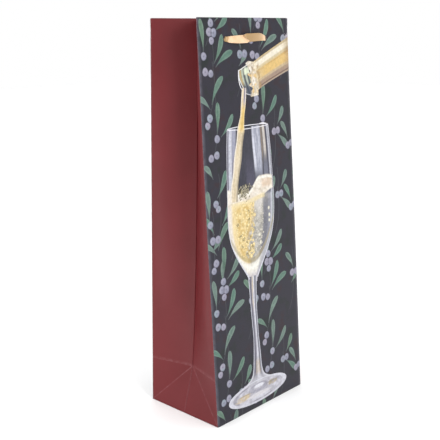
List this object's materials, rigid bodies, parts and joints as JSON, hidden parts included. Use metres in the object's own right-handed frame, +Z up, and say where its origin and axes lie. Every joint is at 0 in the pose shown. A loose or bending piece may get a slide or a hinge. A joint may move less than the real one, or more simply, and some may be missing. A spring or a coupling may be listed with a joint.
{
  "type": "bottle gift bag",
  "caption": "Tall narrow paper gift bag for a bottle: leaning panels with turned-in mouth, inward side gussets, folded base and flat ribbon handles.",
  "frame": {"origin": "middle of the base, on the surface that the bag stands on", "axes": "+Z up to the mouth, +X along the width of the front panel to the right, the front panel faces -Y"},
  "size_m": [0.122, 0.088, 0.3601],
  "materials": {
    "printed_paper": "satin",
    "red_paper": "satin",
    "greyboard": "matte",
    "satin_ribbon": "satin"
  },
  "bodies": {
    "base": {"front_bottom_flap": "printed_paper", "back_bottom_flap": "printed_paper", "left_dust_flap": "red_paper", "right_dust_flap": "red_paper", "left_gusset_base": "red_paper", "right_gusset_base": "red_paper", "left_gusset_front": "red_paper", "left_gusset_back": "red_paper", "right_gusset_front": "red_paper", "right_gusset_back": "red_paper", "left_turn_in_front": "red_paper", "left_turn_in_back": "red_paper", "right_turn_in_front": "red_paper", "right_turn_in_back": "red_paper"},
    "front_wall": {"front_panel": "printed_paper", "front_board": "greyboard", "front_turn_in": "printed_paper", "front_ribbon": "satin_ribbon", "front_left_knot": "satin_ribbon", "front_right_knot": "satin_ribbon"},
    "back_wall": {"back_panel": "printed_paper", "back_board": "greyboard", "back_turn_in": "printed_paper", "seam_lap": "red_paper", "back_ribbon": "satin_ribbon", "back_left_knot": "satin_ribbon", "back_right_knot": "satin_ribbon"},
    "base_board": {"base_board": "greyboard"}
  },
  "joints": [
    {"name": "front_wall_lean", "type": "hinge", "parent": "base", "child": "front_wall", "pos_m": [0, -0.044, 0.0003], "axis": [-1, 0, 0], "range_deg": [-3.2, 3.8], "deforming": ["left_gusset_front", "right_gusset_front", "left_turn_in_front", "right_turn_in_front"]},
    {"name": "back_wall_lean", "type": "hinge", "parent": "base", "child": "back_wall", "pos_m": [0, 0.044, 0.0003], "axis": [1, 0, 0], "range_deg": [-2.1, 3.8], "deforming": ["left_gusset_back", "right_gusset_back", "left_turn_in_back", "right_turn_in_back"]},
    {"name": "base_board_lift", "type": "slide", "parent": "base", "child": "base_board", "axis": [0, 0, 1], "range_m": [0, 0.006]}
  ]
}
